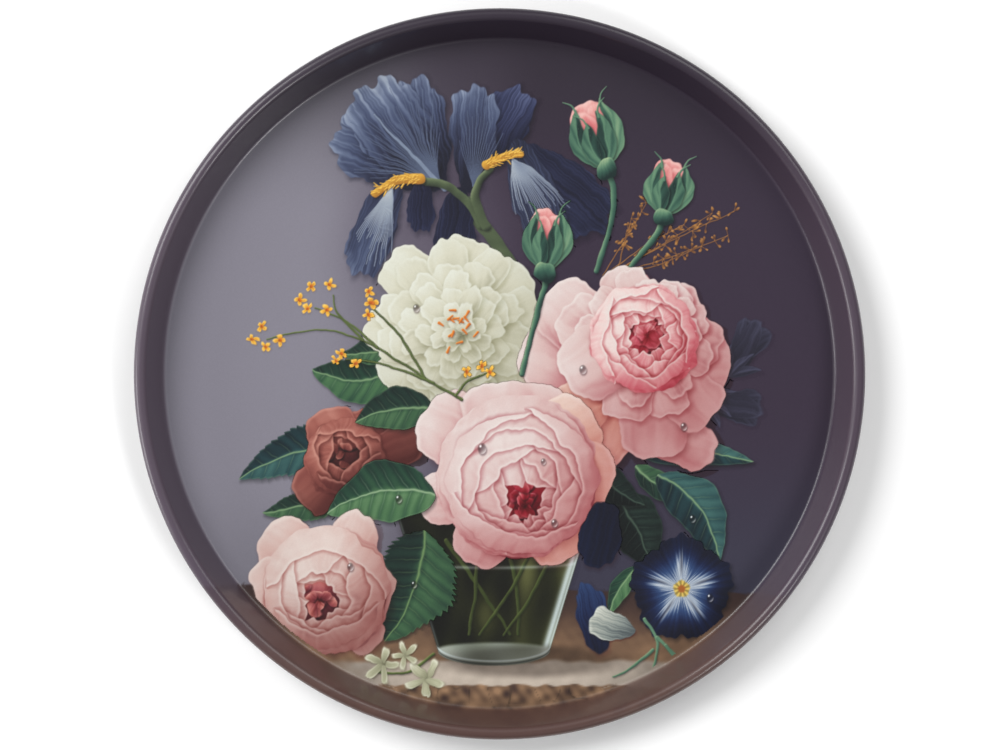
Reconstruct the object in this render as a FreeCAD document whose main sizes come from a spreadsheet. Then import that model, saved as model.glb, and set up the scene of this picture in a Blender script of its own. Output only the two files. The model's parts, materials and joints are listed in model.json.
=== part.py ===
"""Round painted serving tray: a pressed steel pan with a curled rim, the rim wire, and its coats of lacquer.

Everything is turned about +Z. The tray stands on z = 0 with its centre on the Z axis, and +Y is the top of
the picture. Lengths are in millimetres and angles in degrees.

The pan's upper face is the reference line of every layer. In the half plane it runs flat from the axis to
the corner arc, up the leaning wall, and over and under the wire as the curl. A layer is the strip between
two lines parallel to that one, so the coats bed on the steel and on each other without gaps.
"""
import FreeCAD
import Part
import Sketcher
import math
import os

SIZES = [
    # alias, value, what it is
    ("rim_diameter", 330.0, "over the coated rim"),
    ("tray_height", 21.0, "from the table to the top of the coated rim"),
    ("wall_spread", 13.5, "seen from above, from the flat floor's edge to the outside of the coated rim"),
    ("corner_radius", 2.5, "inside radius of the steel between floor and wall"),
    ("sheet_thickness", 0.5, "pan steel"),
    ("wire_diameter", 4.4, "rim wire"),
    ("wire_clearance", 0.05, "radial room between the wire and the curl"),
    ("wire_end_gap", 1.0, "between the butted ends of the wire"),
    ("wire_joint_bearing", 90.0, "where the wire's ends meet, counted from +X"),
    ("curl_end_angle", 140.0, "how far under the wire the curl ends, below the outward level"),
    ("picture_end_angle", 0.0, "where picture and varnish stop on the curl, counted the same way"),
    ("back_lacquer_thickness", 0.12, "primer and dark lacquer under the tray"),
    ("face_lacquer_thickness", 0.12, "primer and dark lacquer on the upper face"),
    ("picture_thickness", 0.06, "paint of the picture"),
    ("varnish_thickness", 0.08, "clear coat"),
]

# Heights and radii that several layers share, written once in terms of the sheet's cells.
STEEL_TOP = "(Sizes.back_lacquer_thickness + Sizes.sheet_thickness)"
TOP_COATS = "(Sizes.face_lacquer_thickness + Sizes.picture_thickness + Sizes.varnish_thickness)"
CURL_RADIUS = "(Sizes.wire_diameter / 2 + Sizes.wire_clearance + Sizes.sheet_thickness)"
BEAD_RADIUS = f"({CURL_RADIUS} + {TOP_COATS})"
CORNER_X = "(Sizes.rim_diameter / 2 - Sizes.wall_spread)"
CORNER_Z = f"{STEEL_TOP} + Sizes.corner_radius"
WIRE_X = f"Sizes.rim_diameter / 2 - {BEAD_RADIUS}"
WIRE_Z = f"Sizes.tray_height - {BEAD_RADIUS}"
UNDER_BEAD_Z = f"Sizes.tray_height - 2 * {BEAD_RADIUS}"

# A layer's two faces, as offsets from the steel's upper face: up and inwards is positive.
LAYERS = {
    "tray_pan": ("-Sizes.sheet_thickness", "0"),
    "face_lacquer": ("0", "Sizes.face_lacquer_thickness"),
    "painted_picture": (
        "Sizes.face_lacquer_thickness",
        "(Sizes.face_lacquer_thickness + Sizes.picture_thickness)",
    ),
    "clear_varnish": (
        "(Sizes.face_lacquer_thickness + Sizes.picture_thickness)",
        TOP_COATS,
    ),
}
CURL_ENDS = {
    "tray_pan": "Sizes.curl_end_angle",
    "face_lacquer": "Sizes.curl_end_angle",
    "painted_picture": "Sizes.picture_end_angle",
    "clear_varnish": "Sizes.picture_end_angle",
}
BACK_LACQUER = ("-(Sizes.sheet_thickness + Sizes.back_lacquer_thickness)", "-Sizes.sheet_thickness")

START, END, CENTRE = 1, 2, 3  # the points of a sketch line or arc
LEVEL_AXIS, UPRIGHT_AXIS = -1, -2  # the sketch's own axes

doc = FreeCAD.newDocument("PaintedTray")
sheet = doc.addObject("Spreadsheet::Sheet", "Sizes")
for row, (alias, value, note) in enumerate(SIZES, start=1):
    sheet.set(f"A{row}", alias)
    sheet.set(f"B{row}", str(value))
    sheet.set(f"C{row}", note)
    sheet.setAlias(f"B{row}", alias)
doc.recompute()


def worth(expression):
    """The number that an expression of the sheet's cells has now."""
    cells = {alias: float(getattr(sheet, alias)) for alias, _, _ in SIZES}
    return float(FreeCAD.Units.Quantity(_filled(expression, cells)).Value)


def _filled(expression, cells):
    """The expression with each cell's name replaced by its number, the longest names first."""
    for alias in sorted(cells, key=len, reverse=True):
        expression = expression.replace(f"Sizes.{alias}", repr(cells[alias]))
    return expression


def wall_direction():
    """Unit vector up the wall: the line that touches the corner's circle and, on its far side, the curl's."""
    across = worth(WIRE_X) - worth(CORNER_X)
    up = worth(WIRE_Z) - worth(CORNER_Z)
    reach = worth("Sizes.corner_radius") + worth(CURL_RADIUS)
    lean = math.atan2(up, across) + math.asin(reach / math.hypot(across, up))
    return math.cos(lean), math.sin(lean)


class Outline:
    """A half section in a sketch on the XZ plane, drawn at its true place and then held by constraints."""

    def __init__(self, name):
        self.body = doc.addObject("PartDesign::Body", name)
        self.body.Label = name
        self.sketch = self.body.newObject("Sketcher::SketchObject", f"{name}_section")
        plane = next(f for f in self.body.Origin.OriginFeatures if f.Role == "XZ_Plane")
        self.sketch.AttachmentSupport = [(plane, "")]
        self.sketch.MapMode = "FlatFace"

    def line(self, a, b, construction=False):
        edge = Part.LineSegment(FreeCAD.Vector(*a, 0), FreeCAD.Vector(*b, 0))
        return self.sketch.addGeometry(edge, construction)

    def arc(self, centre, radius, first, last):
        circle = Part.Circle(FreeCAD.Vector(*centre, 0), FreeCAD.Vector(0, 0, 1), radius)
        return self.sketch.addGeometry(Part.ArcOfCircle(circle, first, last), False)

    def circle(self, centre, radius, construction=False):
        circle = Part.Circle(FreeCAD.Vector(*centre, 0), FreeCAD.Vector(0, 0, 1), radius)
        return self.sketch.addGeometry(circle, construction)

    def hold(self, *constraint):
        return self.sketch.addConstraint(Sketcher.Constraint(*constraint))

    def size(self, name, expression, *constraint):
        """A named dimension whose value follows the sheet."""
        index = self.hold(*constraint)
        self.sketch.renameConstraint(index, name)
        self.sketch.setExpression(f"Constraints.{name}", expression)

    def place_centre(self, name, edge, x, z):
        self.size(f"{name}_x", x, "DistanceX", LEVEL_AXIS, START, edge, CENTRE, worth(x))
        self.size(f"{name}_z", z, "DistanceY", LEVEL_AXIS, START, edge, CENTRE, worth(z))

    def revolve(self, angle="360"):
        feature = self.body.newObject("PartDesign::Revolution", f"{self.body.Name}_turned")
        feature.Profile = self.sketch
        feature.ReferenceAxis = (self.sketch, ["V_Axis"])
        feature.setExpression("Angle", angle)
        self.sketch.Visibility = False
        return self.body


def draw_face(outline, name, offset, curl_end=None):
    """Floor, corner and wall of one face of a layer. With curl_end, the curl too, down to that angle.

    Returns the sketch's edges as (floor, corner, wall, curl). Without curl_end the curl is a construction
    circle that only guides the wall.
    """
    ux, uz = wall_direction()
    shift = worth(offset)
    corner = (worth(CORNER_X), worth(CORNER_Z))
    wire = (worth(WIRE_X), worth(WIRE_Z))
    corner_radius = worth("Sizes.corner_radius") - shift
    curl_radius = worth(CURL_RADIUS) + shift
    wall_foot = (corner[0] + corner_radius * uz, corner[1] - corner_radius * ux)
    wall_head = (wire[0] - curl_radius * uz, wire[1] + curl_radius * ux)
    floor_z = corner[1] - corner_radius
    floor = outline.line((0, floor_z), (corner[0], floor_z))
    bend = outline.arc(corner, corner_radius, -math.pi / 2, math.atan2(-ux, uz))
    wall = outline.line(wall_foot, wall_head)
    outline.hold("PointOnObject", floor, START, UPRIGHT_AXIS)
    outline.hold("Horizontal", floor)
    outline.hold("Tangent", floor, END, bend, START)
    outline.hold("Tangent", bend, END, wall, START)
    radius = f"Sizes.corner_radius - ({offset})"
    outline.size(f"{name}_corner_radius", radius, "Radius", bend, corner_radius)
    if curl_end is None:
        curl = outline.circle(wire, curl_radius, construction=True)
        outline.hold("Tangent", wall, curl)
    else:
        last = math.atan2(ux, -uz)
        curl = outline.arc(wire, curl_radius, math.radians(-worth(curl_end)), last)
        outline.hold("Tangent", wall, END, curl, END)
    radius = f"{CURL_RADIUS} + ({offset})"
    outline.size(f"{name}_curl_radius", radius, "Radius", curl, curl_radius)
    return floor, bend, wall, curl


def close_on_axis(outline, lower_floor, upper_floor):
    a = outline.sketch.getPoint(lower_floor, START)
    b = outline.sketch.getPoint(upper_floor, START)
    edge = outline.line((a.x, a.y), (b.x, b.y))
    outline.hold("Coincident", edge, START, lower_floor, START)
    outline.hold("Coincident", edge, END, upper_floor, START)


def share_centres(outline, lower, upper):
    """Both faces bend about the same corner and the same wire."""
    outline.place_centre("corner", lower[1], CORNER_X, CORNER_Z)
    outline.place_centre("wire", lower[3], WIRE_X, WIRE_Z)
    outline.hold("Coincident", lower[1], CENTRE, upper[1], CENTRE)
    outline.hold("Coincident", lower[3], CENTRE, upper[3], CENTRE)


def make_curled_layer(name, offsets, curl_end):
    """A layer that follows floor, wall and curl, and ends square to the curl."""
    outline = Outline(name)
    lower = draw_face(outline, "lower", offsets[0], curl_end)
    upper = draw_face(outline, "upper", offsets[1], curl_end)
    share_centres(outline, lower, upper)
    close_on_axis(outline, lower[0], upper[0])
    inner_curl, outer_curl = lower[3], upper[3]
    a = outline.sketch.getPoint(inner_curl, START)
    b = outline.sketch.getPoint(outer_curl, START)
    edge = outline.line((a.x, a.y), (b.x, b.y))
    outline.hold("Coincident", edge, START, inner_curl, START)
    outline.hold("Coincident", edge, END, outer_curl, START)
    outline.hold("PointOnObject", outer_curl, CENTRE, edge)
    angle = f"-({curl_end}) * 1 deg"
    outline.size("curl_end", angle, "Angle", edge, math.radians(-worth(curl_end)))
    return outline.revolve()


def make_back_lacquer():
    """The coat under the floor and outside the wall, up to the level of the bead's underside."""
    outline = Outline("back_lacquer")
    lower = draw_face(outline, "lower", BACK_LACQUER[0])
    upper = draw_face(outline, "upper", BACK_LACQUER[1])
    share_centres(outline, lower, upper)
    close_on_axis(outline, lower[0], upper[0])
    a = outline.sketch.getPoint(lower[2], END)
    b = outline.sketch.getPoint(upper[2], END)
    edge = outline.line((a.x, a.y), (b.x, b.y))
    outline.hold("Coincident", edge, START, lower[2], END)
    outline.hold("Coincident", edge, END, upper[2], END)
    outline.hold("Perpendicular", edge, lower[2])
    height = worth(UNDER_BEAD_Z)
    outline.size("top", UNDER_BEAD_Z, "DistanceY", LEVEL_AXIS, START, lower[2], END, height)
    return outline.revolve()


def make_rim_wire():
    """The round wire that the curl closes over, bent to a hoop with its ends butted."""
    outline = Outline("rim_wire")
    ring = outline.circle((worth(WIRE_X), worth(WIRE_Z)), worth("Sizes.wire_diameter / 2"))
    outline.place_centre("wire", ring, WIRE_X, WIRE_Z)
    radius = "Sizes.wire_diameter / 2"
    outline.size("wire_radius", radius, "Radius", ring, worth(radius))
    half_gap = f"Sizes.wire_end_gap / (2 * ({WIRE_X})) * 180 / pi"
    body = outline.revolve(f"360 - 2 * {half_gap}")
    body.setExpression("Placement.Rotation.Angle", f"Sizes.wire_joint_bearing + {half_gap}")
    return body


bodies = [make_curled_layer(name, LAYERS[name], CURL_ENDS[name]) for name in LAYERS]
bodies.append(make_back_lacquer())
bodies.append(make_rim_wire())
doc.recompute()

for thing in doc.Objects:
    if "Invalid" in thing.State or "Error" in thing.State:
        raise RuntimeError(f"{thing.Label} did not recompute: {thing.State}")
for body in bodies:
    shape = body.Shape
    if shape.isNull() or not shape.isValid() or not shape.Solids:
        raise RuntimeError(f"{body.Label} has no valid solid")

os.makedirs("parts", exist_ok=True)
for body in bodies:
    body.Shape.exportStep(f"parts/{body.Label}.step")
    box = body.Shape.optimalBoundingBox()
    print(f"{body.Label}: {box.XLength:.2f} x {box.YLength:.2f}, z {box.ZMin:.2f} to {box.ZMax:.2f},"
          f" {body.Shape.Volume:.0f} mm3")
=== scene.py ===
import json
import math

import bpy
import numpy as np
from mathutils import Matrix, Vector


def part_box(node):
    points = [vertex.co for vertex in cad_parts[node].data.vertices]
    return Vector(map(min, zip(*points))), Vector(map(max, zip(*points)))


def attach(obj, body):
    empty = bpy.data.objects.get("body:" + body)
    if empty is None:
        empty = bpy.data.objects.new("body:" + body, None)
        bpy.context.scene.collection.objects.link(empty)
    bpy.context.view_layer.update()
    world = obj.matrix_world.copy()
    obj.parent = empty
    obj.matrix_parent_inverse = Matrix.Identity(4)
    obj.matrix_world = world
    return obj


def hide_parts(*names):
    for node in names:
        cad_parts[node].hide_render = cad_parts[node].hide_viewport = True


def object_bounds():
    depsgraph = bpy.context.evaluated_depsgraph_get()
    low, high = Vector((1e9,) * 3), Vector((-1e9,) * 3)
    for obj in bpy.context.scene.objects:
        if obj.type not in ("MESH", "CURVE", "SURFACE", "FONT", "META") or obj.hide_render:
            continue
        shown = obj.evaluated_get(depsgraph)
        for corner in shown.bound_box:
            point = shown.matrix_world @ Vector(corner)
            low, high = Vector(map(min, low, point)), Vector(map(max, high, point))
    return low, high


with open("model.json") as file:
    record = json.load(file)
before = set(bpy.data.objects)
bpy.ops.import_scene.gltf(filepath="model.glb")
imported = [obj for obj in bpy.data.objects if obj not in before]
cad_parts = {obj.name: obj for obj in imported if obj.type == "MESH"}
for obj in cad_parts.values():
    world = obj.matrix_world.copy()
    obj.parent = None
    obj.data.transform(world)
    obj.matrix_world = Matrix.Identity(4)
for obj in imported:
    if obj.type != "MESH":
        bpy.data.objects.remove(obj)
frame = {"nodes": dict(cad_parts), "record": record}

cad_low, cad_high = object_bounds()

# ---------------------------------------------------------------------------------------------------------
# The pan and the rim wire. Cold-rolled sheet steel pressed to a dish, its edge curled over a drawn steel
# wire. The pan is turned finely to the design's own section, so that no facet of it stands through the thin
# coats. Sizes are in millimetres, but for the table, the lights and the camera, which are in metres.

MM = 0.001  # metres in a millimetre


def new_material(name):
    """A new material, with its node tree and its main shader."""
    material = bpy.data.materials.new(name)
    material.use_nodes = True
    return material, material.node_tree, material.node_tree.nodes["Principled BSDF"]


def add(tree, kind, **values):
    """A new node with some inputs set. An underscore in a key stands for the space in the input's name."""
    node = tree.nodes.new("ShaderNode" + kind)
    for label, value in values.items():
        node.inputs[label.replace("_", " ")].default_value = value
    return node


def two_tones(tree, dark, light, low=0.0, high=1.0):
    """A node that goes from a dark tone to a light one."""
    node = add(tree, "ValToRGB")
    for stop, place, tone in zip(node.color_ramp.elements, (low, high), (dark, light)):
        stop.position = place
        stop.color = (*tone, 1)
    return node


def join(tree, *threads):
    """Links nodes. Each thread names a giver and its socket, then a taker and its socket."""
    for giver, given, taker, taken in threads:
        tree.links.new(giver.outputs[given], taker.inputs[taken])


STEEL_SHADE = 0.72  # tone of the dark lines, against the steel's own
STEEL_ROUGHNESS = (0.28, 0.48)


def steel(name, tone, grain, stretch):
    """Bare steel with fine lines from rolling or drawing."""
    material, tree, body = new_material(name)
    body.inputs["Metallic"].default_value = 1.0
    place = add(tree, "TexCoord")
    scale = add(tree, "Mapping", Scale=stretch)
    lines = add(tree, "TexNoise", Scale=grain, Detail=6.0)
    tint = two_tones(tree, [STEEL_SHADE * part for part in tone], tone)
    rough = add(tree, "MapRange", To_Min=STEEL_ROUGHNESS[0], To_Max=STEEL_ROUGHNESS[1])
    join(tree, (place, "Object", scale, "Vector"), (scale, "Vector", lines, "Vector"),
         (lines, "Fac", tint, "Fac"), (tint, "Color", body, "Base Color"),
         (lines, "Fac", rough, "Value"), (rough, "Result", body, "Roughness"))
    return material


def coat_node(node, material):
    """Gives a carried-over piece its finish."""
    slots = frame["nodes"][node].data.materials
    slots.clear()
    slots.append(material)


BEND = 2.5  # inside radius of the steel between floor and wall
CURL_END = math.radians(-140)  # where the curl stops under the wire
ROUND = 720  # points round the tray
BEND_POINTS = 10
WALL_POINTS = 8
FLOOR_RINGS = 6
CURL_POINTS = 30
LEVEL = 0.003  # a point of the varnish this little above its lowest still counts as floor
SHARP_EDGE = math.radians(40)  # edges that turn more than this stay crisp

steel_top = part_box("face_lacquer")[0].z / MM
sheet_thickness = steel_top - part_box("tray_pan")[0].z / MM
face_coat_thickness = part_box("painted_picture")[0].z / MM - steel_top
mount_heights = {mount["name"]: mount["pos_m"][2] / MM for mount in frame["record"]["mounts"]}
floor_height = mount_heights["serving_face"]
all_coats = floor_height - steel_top
rim_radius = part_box("clear_varnish")[1].x / MM
wire_low, wire_high = (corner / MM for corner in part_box("rim_wire"))
bead_height = (wire_high.z + wire_low.z) / 2
bead_middle = wire_high.x - (wire_high.z - wire_low.z) / 2
bead_radius = rim_radius - bead_middle
varnish_points = np.array([point.co for point in frame["nodes"]["clear_varnish"].data.vertices]) / MM
on_floor = varnish_points[:, 2] < varnish_points[:, 2].min() + LEVEL
floor_radius = np.hypot(*varnish_points[on_floor, :2].T).max()

bend_height = steel_top + BEND
curl_radius = bead_radius - all_coats
bead_out, bead_up = bead_middle - floor_radius, bead_height - bend_height
lean = math.atan2(bead_up, bead_out) + math.asin((BEND + curl_radius) / math.hypot(bead_up, bead_out))


def arc(middle, radius, first, last, count):
    angles = np.linspace(first, last, count)
    return np.stack([middle[0] + radius * np.cos(angles), middle[1] + radius * np.sin(angles)], -1)


def section_line(offset, curl_end, floor_rings=FLOOR_RINGS):
    """Floor, bend, wall and curl in one line from the axis out, `offset` over the steel's upper face."""
    down, up = lean - math.pi / 2, lean + math.pi / 2  # square to the wall
    bend = arc((floor_radius, bend_height), BEND - offset, -math.pi / 2, down, BEND_POINTS)
    curl = arc((bead_middle, bead_height), curl_radius + offset, up, curl_end, CURL_POINTS)
    floor_line = [(out, steel_top + offset) for out in np.linspace(0, floor_radius, floor_rings)[:-1]]
    shares = np.linspace(0, 1, WALL_POINTS)[1:-1]
    wall_line = [bend[-1] + (curl[0] - bend[-1]) * share for share in shares]
    return np.array([*floor_line, *bend, *wall_line, *curl])


def turned(line):
    """Points and faces of a line turned about the axis. A line that ends on the axis closes there."""
    angles = np.arange(ROUND) * 2 * math.pi / ROUND
    closed = line[-1][0] == 0
    rings = line[1:-1] if closed else line[1:]
    out, height = rings.T
    points = np.stack([np.outer(out, np.cos(angles)).ravel(), np.outer(out, np.sin(angles)).ravel(),
                       np.repeat(height, ROUND)], -1)
    ring, place = np.meshgrid(np.arange(len(rings) - 1) * ROUND, np.arange(ROUND), indexing="ij")
    here, beside = (ring + place).ravel(), (ring + (place + 1) % ROUND).ravel()
    faces = np.stack([here, here + ROUND, beside + ROUND, beside], -1).tolist()
    faces += [[len(points), place, (place + 1) % ROUND] for place in range(ROUND)]
    ends = [(0, 0, line[0][1])]
    if closed:
        last = (len(rings) - 1) * ROUND
        faces += [[len(points) + 1, last + (place + 1) % ROUND, last + place] for place in range(ROUND)]
        ends.append((0, 0, line[-1][1]))
    return np.concatenate([points, ends]), faces


def set_down(name, mesh, material):
    """Makes a smooth-shaded piece of a mesh, in one finish, and fixes it to the tray."""
    mesh.polygons.foreach_set("use_smooth", np.ones(len(mesh.polygons), bool))
    mesh.materials.append(material)
    piece = bpy.data.objects.new(name, mesh)
    bpy.context.scene.collection.objects.link(piece)
    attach(piece, "root")
    return piece


def turned_piece(name, sides, material, node):
    """A sheet between two section lines, the upper one first, that stands for a piece of the design."""
    points, faces = turned(np.concatenate([sides[0], sides[1][::-1]]))
    mesh = bpy.data.meshes.new(name)
    mesh.from_pydata((points * MM).tolist(), [], faces)
    piece = set_down(name, mesh, material)
    mesh.set_sharp_from_angle(angle=SHARP_EDGE)
    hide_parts(node)


turned_piece("pressed_pan", [section_line(0, CURL_END), section_line(-sheet_thickness, CURL_END)],
             steel("rolled steel", (0.50, 0.50, 0.52), 900.0, (1.0, 0.06, 1.0)), "tray_pan")
coat_node("rim_wire", steel("drawn wire", (0.56, 0.56, 0.58), 1400.0, (1.0, 1.0, 0.2)))

# ---------------------------------------------------------------------------------------------------------
# The dark lacquer. Baked aubergine enamel, sprayed under the tray and over its face and curl, with a light
# orange peel. Both coats are turned as finely as the pan, so that the pan stays between them.


COAT_WEIGHT, COAT_ROUGHNESS = 0.35, 0.18
PEEL_GRAIN, PEEL_HEIGHT = 700.0, 0.05


def lacquer(name, dark, light, gloss):
    """Sprayed enamel: slow cloudiness in the colour, orange peel in the surface."""
    material, tree, body = new_material(name)
    body.inputs["Coat Weight"].default_value = COAT_WEIGHT
    body.inputs["Coat Roughness"].default_value = COAT_ROUGHNESS
    place = add(tree, "TexCoord")
    cloud = add(tree, "TexNoise", Scale=34.0, Detail=5.0)
    tint = two_tones(tree, dark, light, 0.3, 0.75)
    peel = add(tree, "TexNoise", Scale=PEEL_GRAIN, Detail=2.0)
    rough = add(tree, "MapRange", To_Min=gloss, To_Max=gloss + 0.16)
    bump = add(tree, "Bump", Strength=0.12, Distance=PEEL_HEIGHT * MM)
    join(tree, (place, "Object", cloud, "Vector"), (place, "Object", peel, "Vector"),
         (cloud, "Fac", tint, "Fac"), (cloud, "Fac", rough, "Value"), (peel, "Fac", bump, "Height"),
         (tint, "Color", body, "Base Color"), (rough, "Result", body, "Roughness"),
         (bump, "Normal", body, "Normal"))
    return material


aubergine = lacquer("aubergine lacquer", (0.036, 0.025, 0.034), (0.044, 0.031, 0.041), 0.26)
face_sides = [section_line(face_coat_thickness, CURL_END), section_line(0, CURL_END)]
turned_piece("face_coat", face_sides, aubergine, "face_lacquer")

back_low, back_top = (corner.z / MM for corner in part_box("back_lacquer"))
pan_underside = steel_top - sheet_thickness
wall_foot = bend_height - (BEND + sheet_thickness) * math.cos(lean)
back_rise = (back_top - wall_foot) / math.sin(lean)  # how far the coat under the tray goes up the wall


def back_line(height):
    """Floor, bend and the covered part of the wall, for a floor at `height`. Its end is square."""
    foot = section_line(height - steel_top, CURL_END)[:FLOOR_RINGS - 1 + BEND_POINTS]
    rises = np.linspace(0, back_rise, WALL_POINTS)[1:]
    wall = foot[-1] + np.outer(rises, (math.cos(lean), math.sin(lean)))
    return np.concatenate([foot, wall])


back_sides = [back_line(pan_underside), back_line(back_low)]
turned_piece("back_coat", back_sides, aubergine, "back_lacquer")

# ---------------------------------------------------------------------------------------------------------
# The ground of the picture. A smooth grey-lilac to plum ground blended wet over the whole floor, running up
# the wall and over the bead, where it turns to the colour of the rim. Its pale left side is partly the
# ground's own tone and partly a painted sheen of the light from the left. The paint film is worked out on a
# fine net of points over the tray, in millimetres, and every flower below is laid into the same film.

NET = 0.3  # between neighbouring points of the film

steps = np.arange(-rim_radius, rim_radius + NET, NET)
X, Y = (side.astype(np.float32) for side in np.meshgrid(steps, steps))


def hue(red, green, blue):
    return np.array([red, green, blue], np.float32) / 255


def ease(amount):
    amount = np.clip(amount, 0, 1)
    return amount * amount * (3 - 2 * amount)


def blend(under, over, amount):
    return under + (over - under) * np.asarray(amount)[..., None]


def cloudy(x, y, grain, seed):
    """Smooth unevenness between about -1 and 1, with patches about `grain` across."""
    draw = np.random.default_rng(seed)
    total = 0
    for _ in range(6):
        turn, start = draw.uniform(0, 2 * math.pi, 2)
        rate = 2 * math.pi / (grain * draw.uniform(0.6, 1.7))
        total = total + np.sin((x * math.cos(turn) + y * math.sin(turn)) * rate + start)
    return total / 2.6


GREY_LILAC_AND_SHEEN = hue(121, 118, 129)
PLUM = hue(46, 35, 52)
SLATE = hue(48, 46, 62)


def ground(x, y):
    """Ground: pale left, partly painted sheen; plum right, slate low right, dark at the top."""
    # the pale left side is partly a painted sheen of the light, laid into the ground's own tone
    across = ease((x + 92 + 0.10 * y + 5 * cloudy(x, y, 60, 1)) / 128)
    colour = blend(GREY_LILAC_AND_SHEEN, PLUM, across)
    colour = blend(colour, SLATE, ease((-y - 10) / 90) * across)
    dim = 1 - 0.20 * ease((y - 70) / 75) - 0.12 * ease((-y - 40) / 70) * (1 - across)
    return colour * dim[..., None]


film = ground(X, Y)
owner = np.zeros(X.shape, np.int16)
relief = np.zeros(X.shape, np.float32)
painted = ["ground"]

# ---------------------------------------------------------------------------------------------------------
# The stone ledge. A mottled brown slab under the glass: its top recedes into shade, its front lip catches
# the light and the face below is broken stone. Its own film ends with the floor, and the ground's film
# carries it on up the wall.

LEDGE_BACK = -98.0
LEDGE_LIP = -131.0
LEDGE_FACE = -142.0
LEDGE_FOOT = -157.0
LEDGE_TILT = 0.018  # its back edge drops this much for each millimetre to the right
STONE = [hue(44, 30, 30), hue(100, 76, 58), hue(146, 114, 86)]
LIP = [STONE[1], hue(140, 130, 119), hue(188, 175, 161)]
STONE_SHADE = hue(74, 48, 42)
COVERED = 0.02  # where the ledge covers less than this, it has no film of its own


def ramp(tones, amount):
    """Colour at each amount, through tones spread evenly from 0 to 1."""
    stops = np.linspace(0, 1, len(tones))
    parts = [np.interp(amount, stops, [tone[part] for tone in tones]) for part in range(3)]
    return np.stack(parts, -1).astype(np.float32)


def ledge(x, y):
    """Colour of the ledge and how much of it covers the ground."""
    back = LEDGE_BACK - LEDGE_TILT * x + 0.25 * cloudy(x, y, 9, 2)
    patches = 0.5 + 0.30 * cloudy(x, y * 2.4, 16, 3) + 0.22 * cloudy(x, y * 1.6, 5, 4)
    depth = ease((back - y) / (back - LEDGE_LIP))
    top = ramp(STONE, 0.06 + 0.50 * depth + 0.22 * patches * depth)
    side = ease((95 - np.abs(x - 4)) / 60)
    lip = ramp(LIP, 0.15 + 0.75 * side + 0.16 * (patches - 0.5))
    face = ramp(STONE, 0.18 + 0.85 * patches * side)
    lip_edge = LEDGE_LIP + 0.6 * cloudy(x, y, 18, 5)
    face_edge = LEDGE_FACE + 0.5 * cloudy(x, y, 7, 6)
    colour = blend(top, lip, ease((lip_edge - y) / 2.4 + 0.5))
    colour = blend(colour, face, ease((face_edge - y) / 0.9 + 0.5))
    colour = blend(colour, STONE_SHADE, ease((LEDGE_FOOT + 6 - y) / 7))
    crack = np.abs(cloudy(x, y * 0.7, 13, 7))
    colour = colour * (1 - 0.30 * ease(1 - crack / 0.10) * ease((face_edge - y) / 2))[..., None]
    return colour, ease((back - y) / 0.8 + 0.5)


stone, cover = ledge(X, Y)
film = blend(film, stone, cover)
painted.append("stone_ledge")
owner[cover > COVERED] = painted.index("stone_ledge")

# ---------------------------------------------------------------------------------------------------------
# Dry grass and shaded buds. Thin golden-brown panicles behind the roses at the upper right, and two dark
# buds that almost sink into the ground at the right. They are laid with the strokes that all the flowers
# share: each casts a soft shade, and then its own paint covers what lies under it.

BRUSH_LIGHT = (-0.6, 0.8)  # the side that the painted light comes from
ROUNDNESS = 2.35  # of a petal: 2 would make it an ellipse, more makes it fuller
SLOW_STRAY, QUICK_STRAY = 0.55, 0.22  # how far the hand strays in its wide and in its short waves


def unsteady(seed):
    """How far the hand strays at every point of the net, to one side."""
    return SLOW_STRAY * cloudy(X, Y, 13, seed) + QUICK_STRAY * cloudy(X, Y, 5, seed + 1)


SWAY_X, SWAY_Y = unsteady(5), unsteady(7)


def facing(x, y):
    """How far a direction points towards the painted light."""
    return x * BRUSH_LIGHT[0] + y * BRUSH_LIGHT[1]


def band(amount, middle, width):
    """A soft band: 1 where the amount is at the middle, and less on both sides."""
    return np.exp(-((amount - middle) / width) ** 2)


def step(at, turn, far):
    """The point that lies `far` from another, in the direction `turn`."""
    return at[0] + far * math.cos(turn), at[1] + far * math.sin(turn)


def strayed(spot, sway, at, shift=(0, 0)):
    """Where the points of a spot lie from `at`, for a hand that strays by `sway` of the usual."""
    x = X[spot] + sway * SWAY_X[spot] - at[0] - shift[0]
    return x, Y[spot] + sway * SWAY_Y[spot] - at[1] - shift[1]


def near(at, reach):
    """The part of the net within reach of a point."""
    low = [int(max(0, (side - reach + rim_radius) / NET)) for side in at]
    high = [int(max(0, (side + reach + rim_radius) / NET) + 2) for side in at]
    return np.s_[low[1]:high[1], low[0]:high[0]]


def belongs(piece, spot, mask):
    """Notes which piece is uppermost where the mask holds."""
    if piece not in painted:
        painted.append(piece)
    owner[spot][mask] = painted.index(piece)


def lay(piece, spot, depth, colour, body=0.03, soft=0.45):
    """Lays paint inside an outline. Depth is how far inside it each point lies, in millimetres."""
    amount = np.clip(0.5 + depth / soft, 0, 1)
    film[spot] = blend(film[spot], colour, amount)
    relief[spot] += amount * (body * ease(depth / 1.5) + 0.25 * body - 0.5 * relief[spot])
    belongs(piece, spot, amount > 0.4)


def shade(piece, spot, depth, blur, strength, tone):
    """Darkens towards a tone where the shape's shadow falls."""
    amount = ease(0.5 + depth / (2 * blur)) * strength
    film[spot] *= 1 - amount[..., None] * (1 - tone)
    belongs(piece, spot, (amount > 0.03) & (owner[spot] == 0))


def hairs(across, along, count, seed):
    """Streaks left by the hairs of the brush: uneven across the stroke, slow along it."""
    draw = np.random.default_rng(seed)
    strength = draw.uniform(-1, 1, 64)
    drift = 0.5 * np.sin(3 * along + draw.uniform(0, 6))
    place = (across * count + drift + 200) % 64
    return np.interp(place, np.arange(65), np.append(strength, strength[0]))


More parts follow.
